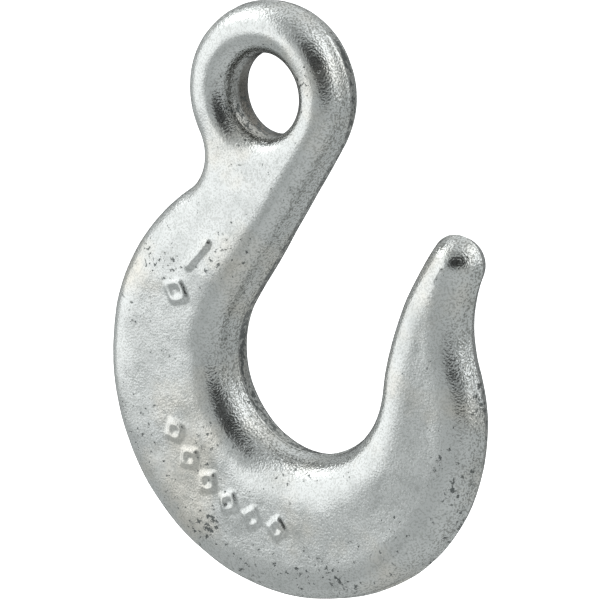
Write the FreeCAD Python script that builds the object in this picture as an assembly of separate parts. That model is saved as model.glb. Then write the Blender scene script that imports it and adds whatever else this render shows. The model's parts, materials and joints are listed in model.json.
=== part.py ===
import FreeCAD, Part
import math
import os

# A drop-forged steel eye slip hook for a small chain: an eye, a shank, a wide open bowl and a blunt
# point, all one forging. The hook lies in the XZ plane and its thickness runs along Y. The origin is
# the centre of the eye. +Z points up the line of pull, which runs from the bowl's centre through the
# eye's centre. All sizes are in millimetres.

# Eye
EYE_RADIUS = 14.3
HOLE_RADIUS = 6.4
HOLE_LAND = 2.2              # straight wall left between the hole's two rounded mouths
EYE_THICKNESS = 9.6

# Bowl, where the load hangs
BOWL_DEPTH = 42.2            # eye centre down to the bowl's centre
BOWL_RADIUS = 14.5
BODY_THICKNESS = 11.6

# Back of the hook, three arcs that run into each other from the shoulder down to the heel
SHOULDER_WIDTH = 18.1        # shoulder arc's radius beyond the bowl's
SHOULDER_SHIFT = -4.4        # shoulder arc's centre to the side of the bowl's centre
SHOULDER_DROP = 1.0          # and below it
FLANK_WIDTH = 20.7
HEEL_WIDTH = 15.4
SHOULDER_END = 163.5         # degrees, where the shoulder arc gives way to the flank arc
FLANK_END = 293.5            # degrees, where the flank arc gives way to the heel arc
NECK_RADIUS = 6.9            # hollow between the eye and the shoulder

# Point
POINT_REACH = 14.8           # tip's centre to the side of the bowl's wall
POINT_RISE = 13.8            # tip's centre above the bowl's centre
POINT_RADIUS = 4.4
POINT_THICKNESS = 8.6
POINT_INNER_RADIUS = 52.0
POINT_OUTER_RADIUS = 19.6

# Rounding left by the dies, and the places where the thickness changes
EDGE_RADIUS = 3.9
WALL_SHARE = 0.96            # most of a half thickness that the rounding may take
EYE_TAPER_TOP = 8.0          # below the eye's centre, where the eye starts to thicken
EYE_TAPER_LENGTH = 20.0
POINT_TAPER_START = 7.8      # to the side of the bowl's centre, where the bowl starts to thin
POINT_TAPER_LENGTH = 21.5

# Raised marks on the front face: a row of pads round the bowl, and a bar with a pad on the shank
PAD_COUNT = 6
PAD_ROW_START = 199.5        # degrees round the bowl's centre
PAD_ROW_END = 253.5
PAD_ROW_WIDTH = 11.2         # pad row's radius beyond the bowl's
PAD_HEIGHT = 0.4
PAD_LENGTH = 4.0
PAD_BREADTH = 3.6
PAD_RIM = 0.8
SIZE_MARK_WIDTH = 9.5        # size mark's radius beyond the bowl's
BAR_ANGLE = 128.0
BAR_LENGTH = 6.5
BAR_BREADTH = 1.4
SIZE_PAD_ANGLE = 146.0
SIZE_PAD_LENGTH = 5.2
SIZE_PAD_BREADTH = 4.4
EMBED = 0.6                  # how far a mark's solid starts inside the face

EYE_HALF = EYE_THICKNESS / 2
BODY_HALF = BODY_THICKNESS / 2
POINT_HALF = POINT_THICKNESS / 2
CUT_REACH = 4 * (EYE_RADIUS + BOWL_DEPTH)


def at(x, z, y=0.0):
    """A point from its place in the hook's plane."""
    return FreeCAD.Vector(x, y, z)


def heading(angle):
    """Unit vector in the hook's plane, with the angle in radians from +X towards +Z."""
    return at(math.cos(angle), math.sin(angle))


def angle_of(vector):
    """Angle of a vector in the hook's plane, in radians from +X towards +Z."""
    return math.atan2(vector.z, vector.x)


def circles_meet(first, first_radius, second, second_radius):
    """The two points that lie at the given distances from two centres."""
    across = second - first
    gap = across.Length
    along = (first_radius ** 2 - second_radius ** 2 + gap ** 2) / (2 * gap)
    offset = math.sqrt(first_radius ** 2 - along ** 2)
    unit = across / gap
    normal = at(-unit.z, unit.x)
    foot = first + unit * along
    return foot + normal * offset, foot - normal * offset


def arc(centre, radius, start, end, anticlockwise=True):
    """Arc from one angle to another, in radians, the given way round."""
    full = 2 * math.pi
    turn = (end - start) % full if anticlockwise else -((start - end) % full)
    points = [centre + heading(start + turn * share) * radius for share in (0.0, 0.5, 1.0)]
    return Part.Arc(*points).toShape()


def outline():
    """Closed outline of the hook: arcs that all run smoothly into one another, and one straight."""
    eye = at(0, 0)
    bowl = at(0, -BOWL_DEPTH)
    tip = bowl + at(BOWL_RADIUS + POINT_REACH, POINT_RISE)
    shoulder_radius = BOWL_RADIUS + SHOULDER_WIDTH
    flank_radius = BOWL_RADIUS + FLANK_WIDTH
    heel_radius = BOWL_RADIUS + HEEL_WIDTH
    shoulder_end = math.radians(SHOULDER_END)
    flank_end = math.radians(FLANK_END)

    # Each arc's centre lies on the line through its neighbour's centre and the point they share.
    shoulder = bowl + at(SHOULDER_SHIFT, -SHOULDER_DROP)
    flank = shoulder + heading(shoulder_end) * (shoulder_radius - flank_radius)
    heel = flank + heading(flank_end) * (flank_radius - heel_radius)
    neck = min(circles_meet(eye, EYE_RADIUS + NECK_RADIUS, shoulder, shoulder_radius + NECK_RADIUS),
               key=lambda point: point.x)
    outer = max(circles_meet(heel, heel_radius + POINT_OUTER_RADIUS, tip, POINT_RADIUS + POINT_OUTER_RADIUS),
                key=lambda point: point.x)
    inner = min(circles_meet(bowl, BOWL_RADIUS + POINT_INNER_RADIUS, tip, POINT_INNER_RADIUS - POINT_RADIUS),
                key=lambda point: point.z)

    # The shank's inner edge is the straight line that touches the eye and the bowl.
    slope = -math.asin((EYE_RADIUS + BOWL_RADIUS) / BOWL_DEPTH)
    shank_top = eye + heading(slope) * EYE_RADIUS
    shank_foot = bowl - heading(slope) * BOWL_RADIUS

    edges = [
        arc(eye, EYE_RADIUS, slope, angle_of(neck - eye)),
        arc(neck, NECK_RADIUS, angle_of(eye - neck), angle_of(shoulder - neck), anticlockwise=False),
        arc(shoulder, shoulder_radius, angle_of(neck - shoulder), shoulder_end),
        arc(flank, flank_radius, shoulder_end, flank_end),
        arc(heel, heel_radius, flank_end, angle_of(outer - heel)),
        arc(outer, POINT_OUTER_RADIUS, angle_of(heel - outer), angle_of(tip - outer), anticlockwise=False),
        arc(tip, POINT_RADIUS, angle_of(outer - tip), angle_of(tip - inner)),
        arc(inner, POINT_INNER_RADIUS, angle_of(tip - inner), angle_of(bowl - inner)),
        arc(bowl, BOWL_RADIUS, angle_of(inner - bowl), slope + math.pi, anticlockwise=False),
        Part.makeLine(shank_foot, shank_top),
    ]
    return Part.Wire(edges)


def taper_curve(start, end):
    """S-shaped curve between two points (place, half thickness), level at both of its ends."""
    third = (end[0] - start[0]) / 3
    curve = Part.BezierCurve()
    poles = [start, (start[0] + third, start[1]), (end[0] - third, end[1]), end]
    curve.setPoles([FreeCAD.Vector(place, half, 0) for place, half in poles])
    return curve


def slab(start, end, reach):
    """Solid between two mirrored tapering faces, its places along X and endless along Z.

    start and end are (place, half thickness); reach is how far it runs beyond them.
    """
    left = FreeCAD.Vector(start[0] - reach, start[1], 0)
    right = FreeCAD.Vector(end[0] + reach, end[1], 0)
    top = [Part.makeLine(left, FreeCAD.Vector(*start, 0)), taper_curve(start, end).toShape(),
           Part.makeLine(FreeCAD.Vector(*end, 0), right)]
    bottom = [edge.mirror(FreeCAD.Vector(), FreeCAD.Vector(0, 1, 0)) for edge in reversed(top)]
    sides = [Part.makeLine(corner, FreeCAD.Vector(corner.x, -corner.y, 0)) for corner in (right, left)]
    profile = Part.Face(Part.Wire(top + sides[:1] + bottom + sides[1:]))
    solid = profile.extrude(FreeCAD.Vector(0, 0, 2 * reach))
    solid.translate(FreeCAD.Vector(0, 0, -reach))
    return solid


def blank():
    """The hook before its edges are rounded: its outline, as thick as the dies make it everywhere."""
    half = max(EYE_HALF, BODY_HALF, POINT_HALF) + 1.0
    plate = Part.Face(outline())
    plate.translate(at(0, 0, -half))
    solid = plate.extrude(at(0, 0, 2 * half))

    # The eye's slab is drawn with its places along X, then turned so that they run down -Z.
    eye_slab = slab((EYE_TAPER_TOP, EYE_HALF), (EYE_TAPER_TOP + EYE_TAPER_LENGTH, BODY_HALF), CUT_REACH)
    eye_slab.rotate(FreeCAD.Vector(), FreeCAD.Vector(0, 1, 0), 90)
    point_taper_end = POINT_TAPER_START + POINT_TAPER_LENGTH
    point_slab = slab((POINT_TAPER_START, BODY_HALF), (point_taper_end, POINT_HALF), CUT_REACH)
    return solid.common(eye_slab).common(point_slab).removeSplitter()


def rim_edges(solid):
    """The edges between the hook's two faces and its wall, which are the edges off its middle plane."""
    least = min(EYE_HALF, BODY_HALF, POINT_HALF) / 2
    rims = []
    for edge in solid.Edges:
        faces = solid.ancestorsOfType(edge, Part.Face)
        upright = [face for face in faces if is_wall(face)]
        if len(upright) == 1 and abs(edge.CenterOfMass.y) > least:
            rims.append(edge)
    return rims


def is_wall(face):
    """True for a face that stands along Y, such as the hook's outer wall."""
    u_low, u_high, v_low, v_high = face.ParameterRange
    normal = face.normalAt((u_low + u_high) / 2, (v_low + v_high) / 2)
    return abs(normal.y) < 0.3


def eye_hole():
    """Cutter for the eye's hole: a straight land with a rounded mouth on each side."""
    land = HOLE_LAND / 2
    mouth = EYE_HALF - land
    wide = HOLE_RADIUS + mouth
    reach = BODY_HALF + 1.0
    bulge = mouth * math.cos(math.pi / 4)
    arcs = [Part.Arc(at(wide, 0, side * EYE_HALF), at(wide - bulge, 0, side * (land + bulge)),
                     at(HOLE_RADIUS, 0, side * land)).toShape() for side in (1, -1)]
    corners = [at(HOLE_RADIUS, 0, -land), at(HOLE_RADIUS, 0, land)]
    over = Part.makePolygon([at(wide, 0, EYE_HALF), at(wide, 0, reach), at(0, 0, reach),
                             at(0, 0, -reach), at(wide, 0, -reach), at(wide, 0, -EYE_HALF)])
    profile = Part.Wire([Part.makeLine(*corners), arcs[0]] + over.Edges + [arcs[1]])
    return Part.Face(profile).revolve(FreeCAD.Vector(), FreeCAD.Vector(0, 1, 0), 360)


def prism(shape_points, centre, turn, low, high):
    """Upright prism on the front face: a polygon drawn about a centre and turned, between two depths."""
    along = heading(turn)
    across = heading(turn + math.pi / 2)
    corners = [centre + along * u + across * v - at(0, 0, low) for u, v in shape_points]
    return Part.Face(Part.makePolygon(corners + corners[:1])).extrude(at(0, 0, low - high))


def lozenge(length, breadth):
    """Corners of a lozenge about its own centre."""
    return [(length / 2, 0), (0, breadth / 2), (-length / 2, 0), (0, -breadth / 2)]


def ring_pad(centre, turn, length, breadth):
    """Raised lozenge with a sunk middle."""
    low = BODY_HALF - EMBED
    high = BODY_HALF + PAD_HEIGHT
    outer = prism(lozenge(length, breadth), centre, turn, low, high)
    shrink = 1 - 2 * PAD_RIM * math.hypot(length, breadth) / (length * breadth)
    hollow = prism(lozenge(length * shrink, breadth * shrink), centre, turn, BODY_HALF, high + EMBED)
    return outer.cut(hollow)


def marks():
    """All the raised marks of the front face."""
    bowl = at(0, -BOWL_DEPTH)
    row_radius = BOWL_RADIUS + PAD_ROW_WIDTH
    pads = []
    for index in range(PAD_COUNT):
        angle = math.radians(PAD_ROW_START + (PAD_ROW_END - PAD_ROW_START) * index / (PAD_COUNT - 1))
        pads.append(ring_pad(bowl + heading(angle) * row_radius, angle, PAD_LENGTH, PAD_BREADTH))
    size_radius = BOWL_RADIUS + SIZE_MARK_WIDTH
    angle = math.radians(SIZE_PAD_ANGLE)
    pads.append(ring_pad(bowl + heading(angle) * size_radius, angle, SIZE_PAD_LENGTH, SIZE_PAD_BREADTH))
    angle = math.radians(BAR_ANGLE)
    half_length = BAR_LENGTH / 2
    half_breadth = BAR_BREADTH / 2
    bar = [(half_breadth, -half_length), (half_breadth, half_length),
           (-half_breadth, half_length), (-half_breadth, -half_length)]
    place = bowl + heading(angle) * size_radius
    pads.append(prism(bar, place, angle, BODY_HALF - EMBED, BODY_HALF + PAD_HEIGHT))
    return pads


def forging():
    """The finished hook."""
    edge_radius = min(EDGE_RADIUS, WALL_SHARE * min(EYE_HALF, BODY_HALF, POINT_HALF, POINT_RADIUS))
    solid = blank()
    solid = solid.makeFillet(edge_radius, rim_edges(solid))
    solid = solid.cut(eye_hole())
    for mark in marks():
        solid = solid.fuse(mark)
    return solid.removeSplitter()


os.makedirs("parts", exist_ok=True)
hook = forging()
hook.exportStep("parts/hook_forging.step")
print("hook_forging: valid", hook.isValid(), "solids", len(hook.Solids), "volume", round(hook.Volume), "mm3")
print("box", hook.BoundBox)
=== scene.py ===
"""The looks of a zinc-plated, drop-forged eye slip hook, laid out as a Blender add-on.

The hook hangs from its eye. It lies in the XZ plane with its thickness along Y, the eye's centre at
the origin and the line of pull along +Z. One operator makes the forging as a worked-out surface,
and another makes the stage. Lengths are in metres.
"""

import json
import math

import bmesh
import bpy
import numpy as np
from mathutils import Matrix, Vector


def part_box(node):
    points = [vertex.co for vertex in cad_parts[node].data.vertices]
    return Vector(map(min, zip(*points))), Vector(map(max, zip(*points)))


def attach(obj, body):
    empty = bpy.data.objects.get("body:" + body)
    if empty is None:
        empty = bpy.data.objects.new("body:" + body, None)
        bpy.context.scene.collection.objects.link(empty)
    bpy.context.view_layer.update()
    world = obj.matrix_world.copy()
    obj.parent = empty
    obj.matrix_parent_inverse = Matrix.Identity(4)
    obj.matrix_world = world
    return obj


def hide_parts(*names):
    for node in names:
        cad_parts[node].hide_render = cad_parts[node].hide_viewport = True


bl_info = {
    "name": "Forged Eye Hook",
    "version": (1, 0, 0),
    "blender": (4, 5, 0),
    "location": "3D View > Sidebar > Eye Hook",
    "description": "Makes a zinc-plated forged eye slip hook and a plain studio stage",
    "category": "Add Mesh",
}

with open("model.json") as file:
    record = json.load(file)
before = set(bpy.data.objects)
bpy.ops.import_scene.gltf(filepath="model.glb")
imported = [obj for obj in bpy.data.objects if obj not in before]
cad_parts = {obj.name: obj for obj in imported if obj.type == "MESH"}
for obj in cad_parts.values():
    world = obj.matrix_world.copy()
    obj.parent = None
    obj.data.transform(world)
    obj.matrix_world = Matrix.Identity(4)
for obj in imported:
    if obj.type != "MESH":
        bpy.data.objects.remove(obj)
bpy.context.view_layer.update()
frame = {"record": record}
CAD_LOW, CAD_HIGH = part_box("hook_forging")
EYE_MOUNT = next(mount for mount in frame["record"]["mounts"] if mount["name"] == "eye")
MM = 0.001

# Fineness of the forging's surface, in steps
SECTION_STEPS = 430          # along the hook, from the eye to the point
FACE_STEPS = 60              # across the flat of each face
CROWN_STEPS = 2              # across the narrow crown of the eye
WALL_STEPS = 6               # from the middle plane up each wall
ROUND_STEPS = 13             # over each rounded edge
LAND_STEPS = 3               # along half of the hole's straight land
EYE_STEPS = 116              # round the free part of the eye
OUTLINE_STEP = 0.02 * MM     # spacing of the points that the outline is read from
WELD_DISTANCE = 0.002 * MM   # points of neighbouring blocks closer than this are one point


class HookShape(bpy.types.PropertyGroup):
    """Sizes of the forging."""

    eye_radius: bpy.props.FloatProperty(
        name="Eye radius", description="Outer radius of the eye", default=14.3 * MM, unit="LENGTH")
    hole_radius: bpy.props.FloatProperty(
        name="Hole radius", description="Radius of the hole at its narrowest",
        default=EYE_MOUNT["dims"]["r_mm"] * MM, unit="LENGTH")
    hole_land: bpy.props.FloatProperty(
        name="Hole land", description="Length of the straight wall in the hole",
        default=EYE_MOUNT["dims"]["length_mm"] * MM, unit="LENGTH")
    eye_thickness: bpy.props.FloatProperty(
        name="Eye thickness", description="Thickness of the eye", default=9.6 * MM, unit="LENGTH")
    body_thickness: bpy.props.FloatProperty(
        name="Body thickness", description="Thickness of the shank and the bowl",
        default=2 * CAD_HIGH.y, unit="LENGTH")
    point_thickness: bpy.props.FloatProperty(
        name="Point thickness", description="Thickness near the tip", default=8.6 * MM, unit="LENGTH")
    bowl_depth: bpy.props.FloatProperty(
        name="Bowl depth", description="From the eye's centre down to the bowl's centre",
        default=42.2 * MM, unit="LENGTH")
    bowl_radius: bpy.props.FloatProperty(
        name="Bowl radius", description="Inner radius of the bowl", default=14.5 * MM, unit="LENGTH")
    neck_radius: bpy.props.FloatProperty(
        name="Neck radius", description="Radius of the hollow between eye and shoulder",
        default=6.9 * MM, unit="LENGTH")
    shoulder_width: bpy.props.FloatProperty(
        name="Shoulder width", description="Shoulder arc's radius beyond the bowl's",
        default=18.1 * MM, unit="LENGTH")
    flank_width: bpy.props.FloatProperty(
        name="Flank width", description="Flank arc's radius beyond the bowl's",
        default=20.7 * MM, unit="LENGTH")
    heel_width: bpy.props.FloatProperty(
        name="Heel width", description="Heel arc's radius beyond the bowl's",
        default=15.4 * MM, unit="LENGTH")
    point_radius: bpy.props.FloatProperty(
        name="Point radius", description="Radius of the tip in the hook's plane",
        default=4.4 * MM, unit="LENGTH")
    edge_radius: bpy.props.FloatProperty(
        name="Edge radius", description="Rounding of the outer edges", default=3.9 * MM, unit="LENGTH")
    ridge_height: bpy.props.FloatProperty(
        name="Parting ridge", description="Height of the ridge left where the dies met",
        default=0.22 * MM, unit="LENGTH")
    mark_height: bpy.props.FloatProperty(
        name="Mark height", description="How far the raised marks stand out",
        default=-CAD_LOW.y - CAD_HIGH.y, unit="LENGTH")


class HookFinish(bpy.types.PropertyGroup):
    """Colours and finish of the plating, and the stage."""

    zinc_colour: bpy.props.FloatVectorProperty(
        name="Zinc", description="Clean zinc plate", subtype="COLOR", size=3, min=0.0, max=1.0,
        default=(0.605, 0.621, 0.616))
    warm_colour: bpy.props.FloatVectorProperty(
        name="Warm film", description="Faint yellow passivation film", subtype="COLOR", size=3,
        min=0.0, max=1.0, default=(0.63, 0.615, 0.57))
    stain_colour: bpy.props.FloatVectorProperty(
        name="Stain", description="Dull grey blotches in the plate", subtype="COLOR", size=3,
        min=0.0, max=1.0, default=(0.40, 0.42, 0.41))
    # This colour also tints the painted shade on the far walls and round the hole's mouth, and the grime
    speckle_and_shade_colour: bpy.props.FloatVectorProperty(
        name="Speckle", description="Grey grains in the plate", subtype="COLOR", size=3, min=0.0,
        max=1.0, default=(0.27, 0.275, 0.26))
    # Brownish scale in the hole, deepened by painted shade on its far half
    bore_scale_and_shade_colour: bpy.props.FloatVectorProperty(
        name="Bore", description="Brownish scale inside the hole", subtype="COLOR", size=3, min=0.0,
        max=1.0, default=(0.115, 0.105, 0.09))
    pit_colour: bpy.props.FloatVectorProperty(
        name="Pits", description="Dark scale left in the pits", subtype="COLOR", size=3,
        min=0.0, max=1.0, default=(0.10, 0.11, 0.11))
    roughness: bpy.props.FloatProperty(
        name="Roughness", description="Roughness of the plating", default=0.22, min=0.0, max=1.0,
        subtype="FACTOR")
    floor_colour: bpy.props.FloatVectorProperty(
        name="Floor", description="Pale studio floor", subtype="COLOR", size=3, min=0.0, max=1.0,
        default=(0.9, 0.9, 0.9))


# ---------------------------------------------------------------- outline of the forging

# Places that shape the outline, beside the sizes that the panel shows
SHOULDER_SHIFT = np.array([-4.4 * MM, -1.0 * MM])
SHOULDER_END = math.radians(163.5)
FLANK_END = math.radians(293.5)
POINT_REACH = 14.8 * MM
POINT_RISE = 13.8 * MM
POINT_INNER_RADIUS = 52.0 * MM
POINT_OUTER_RADIUS = 19.6 * MM


def heading(angle):
    """Unit vector (cosine, sine) of an angle from +X towards +Z."""
    return np.stack([np.cos(angle), np.sin(angle)], axis=-1)


def angle_of(vector):
    """Angle of a vector (x, z) from +X towards +Z."""
    return math.atan2(vector[1], vector[0])


def smooth(value):
    """Smooth step: 0 below 0, 1 above 1, and 3v^2 - 2v^3 between."""
    value = np.clip(value, 0.0, 1.0)
    return value * value * (3.0 - 2.0 * value)


def circles_meet(first, first_radius, second, second_radius):
    """The two points at the given distances from two centres."""
    across = second - first
    gap = np.hypot(*across)
    along = (first_radius ** 2 - second_radius ** 2 + gap ** 2) / (2 * gap)
    offset = math.sqrt(first_radius ** 2 - along ** 2)
    unit = across / gap
    normal = np.array([-unit[1], unit[0]])
    return first + unit * along + normal * offset, first + unit * along - normal * offset


def arc(centre, radius, start, end, hollow=False):
    """Points and outward normals along an arc: centre + radius * (cos a, sin a) from start to end.

    A solid arc runs anticlockwise and its outward normal is its spoke. A hollow one runs clockwise
    and its outward normal points at its centre.
    """
    full = 2 * math.pi
    turn = -((start - end) % full) if hollow else (end - start) % full
    steps = int(abs(turn) * radius / OUTLINE_STEP) + 2
    spokes = heading(start + turn * np.linspace(0.0, 1.0, steps))
    return centre + radius * spokes, -spokes if hollow else spokes


def join(*runs):
    """One run of points and normals from several that follow one another."""
    return tuple(np.concatenate(arrays) for arrays in zip(*runs))


def outline(shape):
    """The forging's outline in the XZ plane, as named runs of points and outward normals.

    Each arc's centre lies on the line through its neighbour's centre and the point that they share,
    and the shank's inner edge is the straight line that touches the eye and the bowl.
    """
    eye = np.zeros(2)
    bowl = np.array([0.0, -shape.bowl_depth])
    tip = bowl + np.array([shape.bowl_radius + POINT_REACH, POINT_RISE])
    shoulder_radius = shape.bowl_radius + shape.shoulder_width
    flank_radius = shape.bowl_radius + shape.flank_width
    heel_radius = shape.bowl_radius + shape.heel_width
    shoulder = bowl + SHOULDER_SHIFT
    flank = shoulder + heading(SHOULDER_END) * (shoulder_radius - flank_radius)
    heel = flank + heading(FLANK_END) * (flank_radius - heel_radius)
    neck = min(circles_meet(eye, shape.eye_radius + shape.neck_radius,
                            shoulder, shoulder_radius + shape.neck_radius), key=lambda point: point[0])
    outer = max(circles_meet(heel, heel_radius + POINT_OUTER_RADIUS,
                             tip, shape.point_radius + POINT_OUTER_RADIUS), key=lambda point: point[0])
    inner = min(circles_meet(bowl, shape.bowl_radius + POINT_INNER_RADIUS,
                             tip, POINT_INNER_RADIUS - shape.point_radius), key=lambda point: point[1])
    slope = -math.asin((shape.eye_radius + shape.bowl_radius) / shape.bowl_depth)
    shank_top = eye + heading(slope) * shape.eye_radius
    shank_foot = bowl - heading(slope) * shape.bowl_radius
    steps = int(np.hypot(*(shank_top - shank_foot)) / OUTLINE_STEP)
    share = np.linspace(0.0, 1.0, steps)[:, None]
    shank_points = shank_foot + share * (shank_top - shank_foot)
    shank = (shank_points, np.broadcast_to(heading(slope), (steps, 2)))
    back = join(
        arc(neck, shape.neck_radius, angle_of(eye - neck), angle_of(shoulder - neck), hollow=True),
        arc(shoulder, shoulder_radius, angle_of(neck - shoulder), SHOULDER_END),
        arc(flank, flank_radius, SHOULDER_END, FLANK_END),
        arc(heel, heel_radius, FLANK_END, angle_of(outer - heel)),
        arc(outer, POINT_OUTER_RADIUS, angle_of(heel - outer), angle_of(tip - outer), hollow=True))
    throat = join(
        arc(inner, POINT_INNER_RADIUS, angle_of(tip - inner), angle_of(bowl - inner)),
        arc(bowl, shape.bowl_radius, angle_of(inner - bowl), slope + math.pi, hollow=True),
        shank)
    return {
        "hub": bowl + np.array([HUB_SHIFT, 0.0]),
        "eye_start": slope,
        "eye_end": angle_of(neck - eye),
        "back": back,
        "throat": tuple(run[::-1] for run in throat),
        "tip": (tip, angle_of(outer - tip), angle_of(tip - inner)),
    }


# ---------------------------------------------------------------- thickness and rounding

EYE_TAPER_TOP = 8.0 * MM
EYE_TAPER_LENGTH = 20.0 * MM
POINT_TAPER_START = 7.8 * MM
POINT_TAPER_LENGTH = 21.5 * MM
EYE_EDGE_RADIUS = 3.6 * MM
TIP_EDGE_SHARE = 0.95                # rounding of the tip's edge, as a share of the tip's radius
SADDLE_EDGE_RADIUS = 5.2 * MM        # rounding of the bowl's inner edge, on the front side only
SADDLE_TURN = math.radians(240.0)    # where round the hub that rounding is largest
SADDLE_SPREAD = 1.3                  # how far round, in radians, it fades out
SOFT_SHARE = 0.4                     # how far the roundings are drawn out towards the face
SOFT_POWER = 6                       # how late in the rounding that sets in
DRAFT = math.tan(math.radians(5.0))
RIDGE_WIDTH = 0.3 * MM
RIDGE_LOSS = 0.6                     # share of the ridge's height that is gone at the eye
WALL_CROWDING = 1.5                  # how the wall's steps crowd towards the middle plane
EYE_FADE_LENGTH = 18.0 * MM          # from the eye, over which its rounding gives way to the body's
TIP_FADE_LENGTH = 20.0 * MM          # up to the tip, over which the body's gives way to the tip's


def half_thickness(shape, x, z):
    """Half thickness of the forging at a place: the body's, eased down to the eye's above the
    shoulder and to the point's beyond the bowl."""
    body = shape.body_thickness / 2
    eye_share = 1.0 - smooth((-z - EYE_TAPER_TOP) / EYE_TAPER_LENGTH)
    point_share = smooth((x - POINT_TAPER_START) / POINT_TAPER_LENGTH) * smooth(-z / EYE_TAPER_LENGTH)
    thick = body + eye_share * (shape.eye_thickness / 2 - body)
    return thick + point_share * (shape.point_thickness / 2 - body)


def edge_band(shape, points, normals, radius, ridge, soft=0.0):
    """Rounded wall carried along a run of the outline, from the middle plane to the edge of the face.

    The profile goes straight up the wall, leaning in by the dies' draft, then round a quarter circle
    of the given radius, which is drawn out by a soft share of it where it nears the face. A narrow
    bell-shaped ridge stands out at the middle plane. Returns x, y, z grids of (place along the run,
    step of the profile), on the side of positive y.
    """
    radius = np.broadcast_to(radius, len(points))[:, None]
    soft = np.broadcast_to(soft, len(points))[:, None]
    wall_share = np.linspace(0.0, 1.0, WALL_STEPS + 1)[None, :-1] ** WALL_CROWDING
    turn = np.linspace(0.0, math.pi / 2, ROUND_STEPS + 1)[None, :]
    x, z = points[:, :1], points[:, 1:]
    thick = half_thickness(shape, x, z)
    wall_top = np.maximum(thick - radius, 0.0)
    height = np.concatenate([wall_top * wall_share, wall_top + radius * np.sin(turn)], axis=1)
    rounding = radius * (1.0 - np.cos(turn) + soft * (turn / turn[0, -1]) ** SOFT_POWER)
    inset = np.concatenate([np.zeros_like(wall_top * wall_share), rounding], axis=1)
    inset = inset + DRAFT * height - ridge * np.exp(-(height / RIDGE_WIDTH) ** 2)
    x = x - normals[:, :1] * inset
    z = z - normals[:, 1:] * inset
    height = height + (half_thickness(shape, x, z) - thick) * (height / thick)
    return np.stack([x, height, z], axis=-1)


def hole_band(shape, angles):
    """Wall of the eye's hole: the straight land, then a quarter circle out to the eye's face."""
    land = shape.hole_land / 2
    mouth = shape.eye_thickness / 2 - land
    turn = np.linspace(0.0, math.pi / 2, ROUND_STEPS + 1)
    height = np.concatenate([np.linspace(0.0, land, LAND_STEPS + 1)[:-1], land + mouth * np.sin(turn)])
    radius = shape.hole_radius + np.concatenate([np.zeros(LAND_STEPS), mouth * (1.0 - np.cos(turn))])
    spokes = heading(angles)
    x = spokes[:, :1] * radius
    z = spokes[:, 1:] * radius
    rise = half_thickness(shape, x, z) - shape.eye_thickness / 2
    return np.stack([x, height + rise * (height / (land + mouth)), z], axis=-1)


# ---------------------------------------------------------------- sections along the hook

HUB_SHIFT = 4.0 * MM                # the sections' hub, beside the bowl's centre
SECTION_FADE = math.radians(52.0)   # turn over which the sections swing from slanted to radial
FINE_SHARE = 2.1                    # how much closer the sections stand where the marks are
FINE_FADE = 0.1                     # radians over which that spacing sets in
MARKED_TURNS = ((112.0, 162.0), (192.0, 262.0))   # degrees round the hub
FACE_EYE_LENGTH = 16.0 * MM         # how far the face's sections stay bent round the hole's mouth
FACE_TIP_LENGTH = 5.0 * MM          # and round the tip


def read_by_angle(run, centre, angles):
    """Points and normals of a run at angles round a centre, which the run passes in order."""
    points, normals = run
    around = np.unwrap(np.arctan2(points[:, 1] - centre[1], points[:, 0] - centre[0]))
    around = around - 2 * math.pi * np.round((around[0] - angles[0]) / (2 * math.pi))
    read = [np.interp(angles, around, column) for column in (*points.T, *normals.T)]
    normal = np.stack(read[2:], axis=1)
    return np.stack(read[:2], axis=1), normal / np.linalg.norm(normal, axis=1, keepdims=True)


def run_angles(run, centre):
    """First and last angle of a run round a centre."""
    points = run[0]
    around = np.unwrap(np.arctan2(points[:, 1] - centre[1], points[:, 0] - centre[0]))
    return around[0], around[-1]


def section_angles(lines):
    """Angles round the hub at which each section meets the back and the throat.

    The throat's angle is the back's plus a gap that fades out after the eye and fades in before the
    point. The sections are spaced evenly along their middles, and closer together at the marks.
    """
    hub = lines["hub"]
    back_first, back_last = run_angles(lines["back"], hub)
    throat_first, throat_last = run_angles(lines["throat"], hub)
    back = np.linspace(back_first, back_last, 40 * SECTION_STEPS)
    throat = back + (throat_first - back_first) * (1.0 - smooth((back - back_first) / SECTION_FADE))
    throat = throat + (throat_last - back_last) * smooth((back - back_last) / SECTION_FADE + 1.0)
    back_points = read_by_angle(lines["back"], hub, back)[0]
    throat_points = read_by_angle(lines["throat"], hub, throat)[0]
    middle = (back_points + throat_points) / 2
    step = np.hypot(*np.diff(middle, axis=0).T)
    density = np.ones(len(step))
    for low, high in np.radians(MARKED_TURNS):
        inside = smooth((back[1:] - low) / FINE_FADE) * smooth((high - back[1:]) / FINE_FADE)
        density = density + (FINE_SHARE - 1.0) * inside
    travel = np.concatenate([[0.0], np.cumsum(step * density)])
    even = np.linspace(0.0, travel[-1], SECTION_STEPS + 1)
    return np.interp(even, travel, back), np.interp(even, travel, throat)


def face_block(back_edge, throat_edge, eye_side, tip_side, travel):
    """Flat of one face: straight sections between the two rounded edges, bent round the hole's mouth
    at the eye and round the tip at the point.

    Each end's bend is its curve less its chord, and fades out smoothly with the distance travelled.
    """
    share = np.linspace(0.0, 1.0, FACE_STEPS + 1)[None, :, None]
    flat = back_edge[:, None, :] * (1.0 - share) + throat_edge[:, None, :] * share
    eye_fade = 1.0 - smooth(travel / FACE_EYE_LENGTH)
    tip_fade = smooth((travel - travel[-1]) / FACE_TIP_LENGTH + 1.0)
    bend = eye_fade[:, None, None] * (eye_side - flat[0])[None]
    return flat + bend + tip_fade[:, None, None] * (tip_side - flat[-1])[None]


def grid_faces(rows, columns, first):
    """Quads of a grid of points numbered row by row from a first number."""
    number = first + np.arange(rows * columns).reshape(rows, columns)
    corners = (number[:-1, :-1], number[:-1, 1:], number[1:, 1:], number[1:, :-1])
    return np.stack([corner.ravel() for corner in corners], axis=1)


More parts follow.
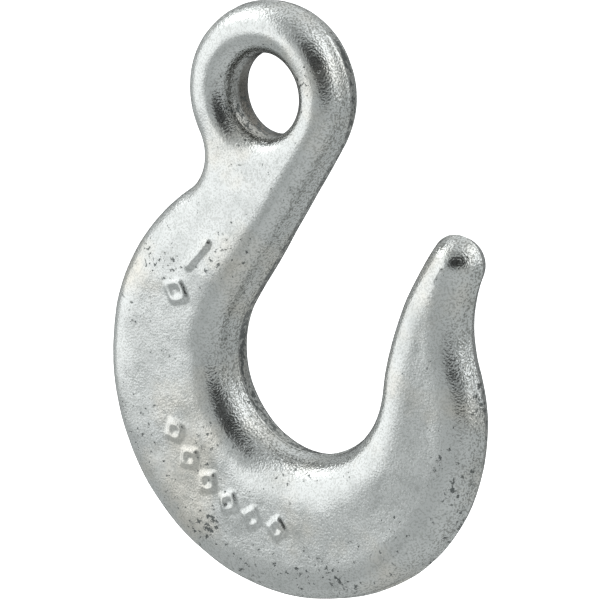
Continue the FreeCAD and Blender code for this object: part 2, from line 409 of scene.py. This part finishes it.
def forging_blocks(shape, saddle_radius):
    """Grids of points that together cover the half of the forging on the side of positive y, with a
    given rounding where the bowl's inner wall turns upwards."""
    lines = outline(shape)
    hub = lines["hub"]
    back_angles, throat_angles = section_angles(lines)
    back_points, back_normals = read_by_angle(lines["back"], hub, back_angles)
    throat_points, throat_normals = read_by_angle(lines["throat"], hub, throat_angles)
    middle = (back_points + throat_points) / 2
    travel = np.concatenate([[0.0], np.cumsum(np.hypot(*np.diff(middle, axis=0).T))])

    tip_edge = TIP_EDGE_SHARE * shape.point_radius
    eye_fade = 1.0 - smooth(travel / EYE_FADE_LENGTH)
    tip_fade = smooth((travel - travel[-1]) / TIP_FADE_LENGTH + 1.0)
    edge = shape.edge_radius + eye_fade * (EYE_EDGE_RADIUS - shape.edge_radius)
    edge = edge + tip_fade * (tip_edge - shape.edge_radius)
    saddle = np.exp(-((throat_angles - SADDLE_TURN) / SADDLE_SPREAD) ** 2)
    saddle = saddle * (1.0 - eye_fade) * (1.0 - tip_fade)
    throat_edge = edge + saddle * (saddle_radius - shape.edge_radius)
    ridge = shape.ridge_height * (1.0 - RIDGE_LOSS * eye_fade)[:, None]

    soft = SOFT_SHARE * (1.0 - eye_fade) * (1.0 - tip_fade)
    back_band = edge_band(shape, back_points, back_normals, edge, ridge, soft)
    throat_band = edge_band(shape, throat_points, throat_normals, throat_edge, ridge, soft)

    tip, tip_start, tip_end = lines["tip"]
    tip_turn = (tip_end - tip_start) % (2 * math.pi)
    tip_angles = np.linspace(tip_start, tip_start + tip_turn, FACE_STEPS + 1)
    spokes = heading(tip_angles)
    tip_band = edge_band(shape, tip + shape.point_radius * spokes, spokes, tip_edge, ridge[-1])

    eye_angles = np.linspace(lines["eye_start"], lines["eye_end"] % (2 * math.pi), EYE_STEPS + 1)
    spokes = heading(eye_angles)
    eye_band = edge_band(shape, shape.eye_radius * spokes, spokes, EYE_EDGE_RADIUS, ridge[0])
    low_steps = FACE_STEPS - 2 * CROWN_STEPS
    low_angles = np.linspace(eye_angles[-1], lines["eye_start"] + 2 * math.pi, low_steps + 1)
    free_hole = hole_band(shape, eye_angles)
    low_hole = hole_band(shape, low_angles)

    share = np.linspace(0.0, 1.0, CROWN_STEPS + 1)[None, :, None]
    crown = free_hole[:, -1:, [0, 2]] * (1.0 - share) + eye_band[:, -1:, [0, 2]] * share
    eye_side = np.concatenate([crown[-1, ::-1], low_hole[1:-1, -1][:, [0, 2]], crown[0]])
    face = face_block(back_band[:, -1][:, [0, 2]], throat_band[:, -1][:, [0, 2]], eye_side,
                      tip_band[:, -1][:, [0, 2]], travel)

    def raise_to_face(flat):
        x, z = flat[..., 0], flat[..., 1]
        return np.stack([x, half_thickness(shape, x, z), z], axis=-1)

    # Each block's rows and columns are ordered so that its quads face outwards on this side.
    return [
        back_band,
        throat_band[::-1],
        tip_band,
        eye_band,
        free_hole[::-1],
        low_hole[::-1],
        raise_to_face(crown)[::-1],
        raise_to_face(face)[::-1],
    ]


def forging_surface(shape):
    """Points and quads of the whole forging: the blocks of the back half, and those of the front half
    turned over in the middle plane."""
    points, quads, first = [], [], 0
    for side, saddle_radius in ((1.0, shape.edge_radius), (-1.0, SADDLE_EDGE_RADIUS)):
        for block in forging_blocks(shape, saddle_radius):
            rows, columns = block.shape[:2]
            faces = grid_faces(rows, columns, first)
            quads.append(faces if side > 0 else faces[:, ::-1])
            points.append(block.reshape(-1, 3) * (1.0, side, 1.0))
            first += rows * columns
    return np.concatenate(points), np.concatenate(quads)


# ---------------------------------------------------------------- forging skin and raised marks

PAD_TURNS = (199.5, 210.3, 221.1, 231.9, 242.7, 253.5)   # degrees round the bowl
PAD_ROW_WIDTH = 11.2 * MM
PAD_SIZE = (4.0 * MM, 3.6 * MM)
SIZE_MARK_WIDTH = 9.5 * MM
SIZE_PAD_TURN = 146.0
SIZE_PAD_SIZE = (5.2 * MM, 4.4 * MM)
BAR_TURN = 128.0
BAR_SIZE = (1.4 * MM, 6.5 * MM)
RIM_WIDTH = 0.46 * MM
RIM_POWER = 2.5              # how steeply a mark's relief falls off
CORNER_SOFTNESS = 0.25       # rounding of a lozenge's corners, as a share of its half size
FRONT_START = 0.5            # how squarely a point must face the front to carry a mark
FRONT_FADE = 0.4
MARK_WEAR = 0.18             # how unevenly the marks are worn down
UNEVEN_SKIN = ((0.024 * MM, 11.0 * MM, 3), (0.006 * MM, 3.5 * MM, 4), (0.003 * MM, 1.4 * MM, 5))


def waves(points, length, seed, count=14):
    """Smooth noise of about unit size: the sum of plane waves of one length in random directions."""
    source = np.random.default_rng(seed)
    direction = source.normal(size=(3, count))
    direction = direction / np.linalg.norm(direction, axis=0)
    spread = source.uniform(0.7, 1.4, count)
    phase = points @ (direction * spread * (2 * math.pi / length))
    phase = phase + source.uniform(0, 2 * math.pi, count)
    return np.cos(phase).sum(axis=1) * math.sqrt(2.0 / count)


def mark_frame(shape, points, turn, width):
    """Coordinates (outwards, round) of points about a mark's centre, beyond the bowl's wall."""
    angle = math.radians(turn)
    centre = np.array([0.0, -shape.bowl_depth]) + heading(angle) * (shape.bowl_radius + width)
    away = points[:, [0, 2]] - centre
    out = heading(angle)
    return away @ out, away @ np.array([-out[1], out[0]])


def lozenge_ring(out, around, size):
    """Relief of a lozenge's rim: a bell over the distance from the line |u|/a + |v|/b = 1, with its
    corners rounded off."""
    length, breadth = size[0] / 2 - RIM_WIDTH / 2, size[1] / 2 - RIM_WIDTH / 2
    reach = np.hypot(out / length, CORNER_SOFTNESS) + np.hypot(around / breadth, CORNER_SOFTNESS)
    distance = (reach - 1.0) * length * breadth / math.hypot(length, breadth)
    return np.exp(-np.abs(distance / RIM_WIDTH) ** RIM_POWER)


def marks(shape, points):
    """Relief of all the raised marks, from 0 to 1, at points on the front face."""
    relief = np.zeros(len(points))
    for turn in PAD_TURNS:
        out, around = mark_frame(shape, points, turn, PAD_ROW_WIDTH)
        relief = np.maximum(relief, lozenge_ring(out, around, PAD_SIZE))
    out, around = mark_frame(shape, points, SIZE_PAD_TURN, SIZE_MARK_WIDTH)
    relief = np.maximum(relief, lozenge_ring(out, around, SIZE_PAD_SIZE))
    out, around = mark_frame(shape, points, BAR_TURN, SIZE_MARK_WIDTH)
    beyond = np.maximum(np.abs(around) - (BAR_SIZE[1] - BAR_SIZE[0]) / 2, 0.0)
    distance = np.hypot(out, beyond) / (BAR_SIZE[0] / 2)
    return np.maximum(relief, np.exp(-distance ** RIM_POWER))


def forged_skin(shape, points, normals):
    """The forging's surface with the marks raised on its front face and the skin's gentle unevenness."""
    front = smooth((-normals[:, 1] - FRONT_START) / FRONT_FADE)
    worn = 1.0 - MARK_WEAR + MARK_WEAR * waves(points, 5.0 * MM, seed=11)
    lift = shape.mark_height * front * marks(shape, points) * worn
    uneven = sum(depth * waves(points, length, seed=seed) for depth, length, seed in UNEVEN_SKIN)
    points = points + normals * uneven[:, None]
    return points - lift[:, None] * np.array([0.0, 1.0, 0.0])


# Where the painted shade and the dirt lie. Each pair is where it starts and over how far it sets in.
# Painted shade on the far half of the walls
WALL_RIM = (0.45, 0.45)                   # in the rim value
WALL_BACK = (-0.1 * MM, 1.0 * MM)         # past the middle plane, towards the back
# Brownish scale in the hole, with painted shade that makes it strongest on the far half
HOLE_SCALE_AND_SHADE = (0.1 * MM, 0.8 * MM)         # outwards from the hole's wall
HOLE_SHADE_BACK = (-0.7 * MM, 0.7 * MM)         # past the middle plane, towards the back
HOLE_FRONT_SHARE = 0.35                   # of the hole's scale, left on the front half
# Painted shade round the hole's mouth
MOUTH_WIDTH = 3.0 * MM
MOUTH_SHADE = 0.6
LOW_EDGE = (11.0 * MM, 6.0 * MM)          # outwards from the bowl's wall
LOW_DROP = (38.0 * MM, 12.0 * MM)         # down from the eye's centre
LOW_GRIME = 0.45


def sets_in(value, start_and_length):
    """Smooth step of a value that starts at a place and is full after a length."""
    start, length = start_and_length
    return smooth((value - start) / length)


def wear_and_shade(shape, points, normals):
    """How rough, how darkened by painted shade and grime, and how scaled each point is, from 0 to 1.

    The rim value is how far the surface has turned from the faces. Painted shade lies on the far half
    of the walls and round the hole's mouth, and grime along the body's lower outer edge; one value
    holds both. The last value is the brownish scale in the hole's narrow part, with painted shade
    that puts most of it on the far half.
    """
    rim = 1.0 - np.abs(normals[:, 1])
    # Painted shade on the far half of the walls, outside the hole
    wall = sets_in(rim, WALL_RIM) * sets_in(points[:, 1], WALL_BACK)
    past_hole = np.hypot(points[:, 0], points[:, 2]) - shape.hole_radius
    hole = 1.0 - sets_in(past_hole, HOLE_SCALE_AND_SHADE)
    # Painted shade round the hole's mouth
    mouth = 1.0 - smooth(past_hole / MOUTH_WIDTH)
    from_bowl = np.hypot(points[:, 0], points[:, 2] + shape.bowl_depth) - shape.bowl_radius
    low = sets_in(from_bowl, LOW_EDGE) * sets_in(-points[:, 2], LOW_DROP)
    # Painted shade and grime together
    shade_and_grime = np.maximum(np.maximum(wall * (1.0 - hole), MOUTH_SHADE * mouth), LOW_GRIME * low)
    # The hole's scale, with painted shade that deepens it on the far half
    bore_scale_and_shade = hole * (HOLE_FRONT_SHARE + (1.0 - HOLE_FRONT_SHARE) * sets_in(points[:, 1], HOLE_SHADE_BACK))
    return {"rim": rim, "shade_and_grime": shade_and_grime, "bore_scale_and_shade": bore_scale_and_shade}


# ---------------------------------------------------------------- materials

def node(tree, kind, place, **values):
    """Adds a shader node with some of its settings and input values."""
    made = tree.nodes.new(kind)
    made.location = place
    for name, value in values.items():
        if hasattr(made, name):
            setattr(made, name, value)
        else:
            made.inputs[name.replace("_", " ")].default_value = value
    return made


def ramp(tree, source, place, low, high, low_value=0.0, high_value=1.0):
    """Straight ramp of one value into another range, held at both ends."""
    made = node(tree, "ShaderNodeMapRange", place, clamp=True)
    limits = {"From Min": low, "From Max": high, "To Min": low_value, "To Max": high_value}
    for name, value in limits.items():
        made.inputs[name].default_value = value
    tree.links.new(source, made.inputs["Value"])
    return made.outputs["Result"]


def noise(tree, coordinates, place, size, detail=2.0, rough=0.5):
    """Noise texture whose features are about the given size."""
    made = node(tree, "ShaderNodeTexNoise", place, Scale=1.0 / size, Detail=detail, Roughness=rough)
    tree.links.new(coordinates, made.inputs["Vector"])
    return made.outputs["Fac"]


def blend_colour(tree, factor, first, second, place):
    """Mix of two colours, each a socket or a value."""
    made = node(tree, "ShaderNodeMix", place, data_type="RGBA")
    tree.links.new(factor, made.inputs["Factor"])
    for name, value in (("A", first), ("B", second)):
        socket = next(entry for entry in made.inputs if entry.name == name and entry.type == "RGBA")
        if isinstance(value, bpy.types.NodeSocket):
            tree.links.new(value, socket)
        else:
            socket.default_value = (*value, 1.0)
    return next(entry for entry in made.outputs if entry.type == "RGBA")


# Patterns in the plate. A noise is its feature size, detail and roughness. A range is the two input
# values between which a pattern goes from none to full, and then its own two values if not 0 and 1.
FILM_NOISE = (16.0 * MM, 4.0, 0.6)
FILM_RANGE = (0.50, 0.66)
STAIN_NOISE = (3.2 * MM, 5.0, 0.68)
STAIN_RANGE = (0.50, 0.74, 0.0, 0.5)
SPECKLE_NOISE = (0.32 * MM, 0.5, 0.5)
SPECKLE_RANGE = (0.5, 0.6)
# The speckle's rise towards the rims is painted dark reflection
SPECKLE_AND_REFLECTION_BY_RIM = (0.05, 0.6, 0.3, 0.8)
# Tint of the painted shade and the grime
SHADE_AND_GRIME_TINT = (0.5, 1.0, 0.0, 0.45)
# Tint of the hole's scale and of the painted shade on its far half
BORE_SCALE_AND_SHADE_TINT = (0.0, 1.0, 0.0, 0.85)
CLUSTER_NOISE = (7.0 * MM, 2.0, 0.5)
CLUSTER_SHARE = 0.55
PIT_NOISE = (0.8 * MM, 3.0, 0.6)
# Pits gather more where the painted shade and the grime lie
PIT_SHADE_AND_GRIME_SHARE = 0.2
PIT_RANGE = (0.97, 1.03, 0.0, 0.9)
PIT_DEPTH = 0.08 * MM
PATCH_NOISE = (5.0 * MM, 4.0, 0.6)
PATCH_RANGE = (0.3, 0.7)
PATCH_SMOOTHER = 0.05
PATCH_ROUGHER = 0.10
GRAIN_NOISE = (0.3 * MM, 0.6, 0.5)
GRAIN_BY_RIM = (0.02, 0.35, 0.02 * MM, 0.09 * MM)
FLOOR_ROUGHNESS = 0.9
FLOOR_SHINE = 0.1
FLOOR_GLOW = 0.8


def zinc_material(finish):
    """Dull zinc plate over a rough forged skin: fine grain, faint warm film, stains, dark pits and
    painted shade.

    The grain and the speckle grow towards the rims, which the mesh's own rim attribute marks; the
    speckle's growth there is painted dark reflection on the roundings and walls. The pits gather in
    clusters, and more of them lie where a second attribute is high. That attribute holds painted shade
    on the far half of the walls and round the hole's mouth, and grime along the body's lower outer
    edge, and it darkens the colour. A third attribute marks the brownish scale in the hole, with
    painted shade that deepens it on the far half.
    """
    material = bpy.data.materials.new("zinc_plate")
    material.use_nodes = True
    tree = material.node_tree
    shader = tree.nodes["Principled BSDF"]
    shader.inputs["Metallic"].default_value = 1.0
    place = node(tree, "ShaderNodeTexCoord", (-1800, 0)).outputs["Object"]
    rim = node(tree, "ShaderNodeAttribute", (-1800, -300), attribute_name="rim").outputs["Fac"]

    haze = noise(tree, place, (-1500, 400), *FILM_NOISE)
    film = ramp(tree, haze, (-1250, 400), *FILM_RANGE)
    colour = blend_colour(tree, film, finish.zinc_colour, finish.warm_colour, (-700, 400))
    blotches = noise(tree, place, (-1500, 200), *STAIN_NOISE)
    stain = ramp(tree, blotches, (-1250, 200), *STAIN_RANGE)
    colour = blend_colour(tree, stain, colour, finish.stain_colour, (-500, 300))

    # Grey grains, whose share rises towards the rims as painted dark reflection on the roundings and
    # walls
    dust = noise(tree, place, (-1500, 600), *SPECKLE_NOISE)
    depth = ramp(tree, rim, (-1250, 700), *SPECKLE_AND_REFLECTION_BY_RIM)
    speckle_and_reflection = node(tree, "ShaderNodeMath", (-900, 600), operation="MULTIPLY")
    tree.links.new(ramp(tree, dust, (-1050, 600), *SPECKLE_RANGE), speckle_and_reflection.inputs[0])
    tree.links.new(depth, speckle_and_reflection.inputs[1])
    colour = blend_colour(tree, speckle_and_reflection.outputs[0], colour, finish.speckle_and_shade_colour, (-400, 250))

    # Painted shade on the far walls and round the hole's mouth, with grime on the lower outer edge,
    # darkens the colour
    shade_and_grime = node(tree, "ShaderNodeAttribute", (-1800, -600), attribute_name="shade_and_grime").outputs["Fac"]
    bore_scale_and_shade = node(tree, "ShaderNodeAttribute", (-1800, -800), attribute_name="bore_scale_and_shade").outputs["Fac"]
    shade_and_grime_tint = ramp(tree, shade_and_grime, (-700, -900), *SHADE_AND_GRIME_TINT)
    colour = blend_colour(tree, shade_and_grime_tint, colour, finish.speckle_and_shade_colour, (-370, 230))
    # Brownish scale in the hole, deepened by painted shade on its far half
    bore_scale_and_shade_tint = ramp(tree, bore_scale_and_shade, (-700, -700), *BORE_SCALE_AND_SHADE_TINT)
    colour = blend_colour(tree, bore_scale_and_shade_tint, colour, finish.bore_scale_and_shade_colour, (-350, 220))

    cluster = noise(tree, place, (-1500, 0), *CLUSTER_NOISE)
    speck = noise(tree, place, (-1500, -200), *PIT_NOISE)
    level = node(tree, "ShaderNodeMath", (-1250, -60), operation="MULTIPLY_ADD")
    level.inputs[1].default_value = CLUSTER_SHARE
    tree.links.new(cluster, level.inputs[0])
    tree.links.new(speck, level.inputs[2])
    edge = node(tree, "ShaderNodeMath", (-1050, -120), operation="MULTIPLY_ADD")
    edge.inputs[1].default_value = PIT_SHADE_AND_GRIME_SHARE
    tree.links.new(shade_and_grime, edge.inputs[0])
    tree.links.new(level.outputs[0], edge.inputs[2])
    pits = ramp(tree, edge.outputs[0], (-850, -120), *PIT_RANGE)
    colour = blend_colour(tree, pits, colour, finish.pit_colour, (-300, 200))
    tree.links.new(colour, shader.inputs["Base Color"])

    patches = noise(tree, place, (-1500, -420), *PATCH_NOISE)
    smoother = finish.roughness - PATCH_SMOOTHER
    rougher = finish.roughness + PATCH_ROUGHER
    rough = ramp(tree, patches, (-1250, -420), *PATCH_RANGE, smoother, rougher)
    tree.links.new(rough, shader.inputs["Roughness"])

    grain = noise(tree, place, (-1500, -640), *GRAIN_NOISE)
    bump = node(tree, "ShaderNodeBump", (-400, -500), Strength=1.0)
    grain_depth = ramp(tree, rim, (-700, -560), *GRAIN_BY_RIM)
    tree.links.new(grain_depth, bump.inputs["Distance"])
    tree.links.new(grain, bump.inputs["Height"])
    dent = node(tree, "ShaderNodeBump", (-200, -400), Strength=1.0, Distance=PIT_DEPTH, invert=True)
    tree.links.new(pits, dent.inputs["Height"])
    tree.links.new(bump.outputs["Normal"], dent.inputs["Normal"])
    tree.links.new(dent.outputs["Normal"], shader.inputs["Normal"])
    return material


def pale_material(finish):
    """Plain matt floor."""
    material = bpy.data.materials.new("pale_floor")
    material.use_nodes = True
    shader = material.node_tree.nodes["Principled BSDF"]
    shader.inputs["Base Color"].default_value = (*finish.floor_colour, 1.0)
    shader.inputs["Roughness"].default_value = FLOOR_ROUGHNESS
    shader.inputs["Specular IOR Level"].default_value = FLOOR_SHINE
    shader.inputs["Emission Color"].default_value = (1.0, 1.0, 1.0, 1.0)
    shader.inputs["Emission Strength"].default_value = FLOOR_GLOW
    return material


# ---------------------------------------------------------------- building and placing

def new_mesh(name, points, quads, weld=None):
    """Smooth mesh object in the scene from points and quads, with its doubles merged if asked."""
    mesh = bpy.data.meshes.new(name)
    mesh.from_pydata(points.tolist(), [], quads.tolist())
    if weld:
        shell = bmesh.new()
        shell.from_mesh(mesh)
        bmesh.ops.remove_doubles(shell, verts=shell.verts, dist=weld)
        bmesh.ops.recalc_face_normals(shell, faces=shell.faces)
        shell.to_mesh(mesh)
        shell.free()
    mesh.polygons.foreach_set("use_smooth", np.ones(len(mesh.polygons), bool))
    mesh.update()
    piece = bpy.data.objects.new(name, mesh)
    bpy.context.scene.collection.objects.link(piece)
    return piece


def read_column(mesh, name):
    """One vector of every vertex of a mesh."""
    column = np.empty(len(mesh.vertices) * 3)
    mesh.vertices.foreach_get(name, column)
    return column.reshape(-1, 3)


class HOOK_OT_forging(bpy.types.Operator):
    """Makes the forged hook with its raised marks and its zinc plate"""

    bl_idname = "hook.forging"
    bl_label = "Forged hook"

    def execute(self, context):
        shape = context.scene.hook_shape
        points, quads = forging_surface(shape)
        piece = new_mesh("hook_body", points, quads, weld=WELD_DISTANCE)
        mesh = piece.data
        shaped = forged_skin(shape, read_column(mesh, "co"), read_column(mesh, "normal"))
        mesh.vertices.foreach_set("co", shaped.ravel())
        mesh.update()
        for name, values in wear_and_shade(shape, read_column(mesh, "co"), read_column(mesh, "normal")).items():
            mesh.attributes.new(name, "FLOAT", "POINT").data.foreach_set("value", values)
        mesh.materials.append(zinc_material(context.scene.hook_finish))
        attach(piece, "root")
        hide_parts("hook_forging")
        return {"FINISHED"}


# ---------------------------------------------------------------- stage

AZIMUTH = math.radians(36.5)
ELEVATION = math.radians(6.7)
ROLL = math.radians(8.5)
CAMERA_DISTANCE = 0.7
CAMERA_LENS = 274.4
CAMERA_AIM = Vector((1.75, -3.34, -31.73)) * MM
FLOOR_DROP = 0.07
WORLD_COLOUR = (0.57, 0.592, 0.588)
FLOOR_RADIUS = 1.6
SWEEP_RADIUS = 0.5
SWEEP_SIDES = 96
SWEEP_STEPS = 24
FLOOR_WELD = 0.01 * MM
CLIP_START = 0.01
WALL_HEIGHT = 3.0
CARD_SIDES = 48

# Name, direction, distance, size and brightness of each soft light
LIGHTS = (
    ("key_light", (-0.72, -0.52, 0.40), 1.2, 1.5, 0.94),
    ("top_light", (-0.55, -0.15, 0.85), 1.0, 0.7, 1.3),
    ("floor_light", (0.2, -0.3, -0.93), 1.2, 2.0, 0.1),
    ("high_light", (0.1, 0.45, 0.9), 1.3, 1.8, 0.4),
    ("right_light", (1.0, 0.1, 0.08), 1.0, 0.45, 0.9),
    ("right_high_light", (0.80, 0.26, 0.52), 1.0, 0.7, 1.1),
)
# Name, direction, distance, width and height, and shade of each card
CARDS = (
    ("front_card", (0.555, -0.775, 0.31), 1.0, (1.36, 0.95), 0.06),
    ("rear_card", (-0.59, 0.8, -0.12), 1.2, (1.0, 1.0), 0.02),
    ("side_card", (0.2, 0.98, -0.1), 1.2, (1.2, 0.8), 0.45),
)


def view_axes():
    """Camera axes (right, up, back) for the stage's azimuth, elevation and roll."""
    back = Vector((math.sin(AZIMUTH) * math.cos(ELEVATION), -math.cos(AZIMUTH) * math.cos(ELEVATION),
                   math.sin(ELEVATION)))
    level = Vector((math.cos(AZIMUTH), math.sin(AZIMUTH), 0.0))
    upright = back.cross(level)
    right = math.cos(ROLL) * level - math.sin(ROLL) * upright
    up = math.sin(ROLL) * level + math.cos(ROLL) * upright
    return right, up, back


def add_camera():
    """Camera at the stage's viewing angle."""
    right, up, back = view_axes()
    camera = bpy.data.objects.new("camera", bpy.data.cameras.new("camera"))
    camera.data.lens = CAMERA_LENS
    camera.data.clip_start = CLIP_START
    place = Matrix.Identity(4)
    for row, axis in enumerate((right, up, back)):
        for column in range(3):
            place[column][row] = axis[column]
    place.translation = CAMERA_AIM + back * CAMERA_DISTANCE
    camera.matrix_world = place
    bpy.context.scene.collection.objects.link(camera)
    bpy.context.scene.camera = camera


def add_softbox(name, direction, distance, size, brightness):
    """Square soft light at a direction from the hook, aimed at it. Its power is its brightness
    times pi times its area."""
    light = bpy.data.lights.new(name, "AREA")
    light.shape = "SQUARE"
    light.size = size
    light.energy = brightness * math.pi * size ** 2
    lamp = bpy.data.objects.new(name, light)
    toward = Vector(direction).normalized()
    lamp.location = CAMERA_AIM + toward * distance
    lamp.rotation_euler = toward.to_track_quat("Z", "Y").to_euler()
    bpy.context.scene.collection.objects.link(lamp)


def add_sweep(finish):
    """Round floor that curves up into a wall on all sides: the profile of a flat run, a quarter
    circle and an upright run, turned about the upright axis."""
    turn = np.linspace(0.0, math.pi / 2, SWEEP_STEPS + 1)
    wall = FLOOR_RADIUS + SWEEP_RADIUS
    radius = np.concatenate([[0.0], FLOOR_RADIUS + SWEEP_RADIUS * np.sin(turn), [wall]])
    rise = np.concatenate([[0.0], SWEEP_RADIUS * (1.0 - np.cos(turn)), [WALL_HEIGHT]])
    spokes = heading(np.linspace(0.0, 2 * math.pi, SWEEP_SIDES + 1))[:, None, :]
    flat = spokes * radius[None, :, None]
    height = np.broadcast_to(CAD_LOW.z - FLOOR_DROP + rise, flat.shape[:2])
    points = np.stack([flat[..., 0], flat[..., 1], height], axis=-1)
    quads = grid_faces(*flat.shape[:2], 0)
    sweep = new_mesh("floor", points.reshape(-1, 3), quads, weld=FLOOR_WELD)
    sweep.data.materials.append(pale_material(finish))
    sweep.visible_glossy = False
    sweep.visible_diffuse = False
    sweep.visible_shadow = False


def add_card(name, direction, distance, size, shade):
    """Dull oval card of a grey shade at a direction from the hook, facing it, which the metal mirrors.
    Only reflections see it."""
    toward = Vector(direction).normalized()
    across = Vector((0.0, 0.0, 1.0)).cross(toward).normalized() * (size[0] / 2)
    upward = toward.cross(across).normalized() * (size[1] / 2)
    middle = CAMERA_AIM + toward * distance
    turn = np.linspace(0.0, 2 * math.pi, CARD_SIDES, endpoint=False)[:, None]
    rim = np.array(middle) + np.cos(turn) * np.array(across) + np.sin(turn) * np.array(upward)
    card = new_mesh(name, rim, np.arange(CARD_SIDES)[None])
    material = bpy.data.materials.new(name)
    material.use_nodes = True
    shader = material.node_tree.nodes["Principled BSDF"]
    shader.inputs["Base Color"].default_value = (shade, shade, shade, 1.0)
    shader.inputs["Specular IOR Level"].default_value = 0.0
    card.data.materials.append(material)
    card.visible_camera = False
    card.visible_diffuse = False
    card.visible_shadow = False


class HOOK_OT_stage(bpy.types.Operator):
    """Makes the pale floor, the camera, the soft lights and the cards that the metal mirrors"""

    bl_idname = "hook.stage"
    bl_label = "Studio stage"

    def execute(self, context):
        add_sweep(context.scene.hook_finish)
        add_camera()
        for light in LIGHTS:
            add_softbox(*light)
        for card in CARDS:
            add_card(*card)
        world = bpy.data.worlds.new("studio")
        world.use_nodes = True
        world.node_tree.nodes["Background"].inputs["Color"].default_value = (*WORLD_COLOUR, 1.0)
        context.scene.world = world
        context.scene.view_settings.view_transform = "Standard"
        return {"FINISHED"}


class HOOK_PT_panel(bpy.types.Panel):
    """Lists the hook's sizes, finish and operators"""

    bl_idname = "HOOK_PT_panel"
    bl_label = "Eye Hook"
    bl_space_type = "VIEW_3D"
    bl_region_type = "UI"
    bl_category = "Eye Hook"

    def draw(self, context):
        for group in (context.scene.hook_shape, context.scene.hook_finish):
            column = self.layout.column()
            for name in group.bl_rna.properties.keys():
                if name not in ("rna_type", "name"):
                    column.prop(group, name)
        self.layout.operator(HOOK_OT_forging.bl_idname)
        self.layout.operator(HOOK_OT_stage.bl_idname)


CLASSES = (HookShape, HookFinish, HOOK_OT_forging, HOOK_OT_stage, HOOK_PT_panel)


def register():
    """Registers the classes and puts the settings on the scene."""
    for entry in CLASSES:
        bpy.utils.register_class(entry)
    bpy.types.Scene.hook_shape = bpy.props.PointerProperty(type=HookShape)
    bpy.types.Scene.hook_finish = bpy.props.PointerProperty(type=HookFinish)


def unregister():
    """Takes the settings off the scene and unregisters the classes."""
    del bpy.types.Scene.hook_finish
    del bpy.types.Scene.hook_shape
    for entry in reversed(CLASSES):
        bpy.utils.unregister_class(entry)


def main():
    register()
    bpy.ops.hook.forging()
    bpy.ops.hook.stage()


if __name__ == "__main__":
    main()
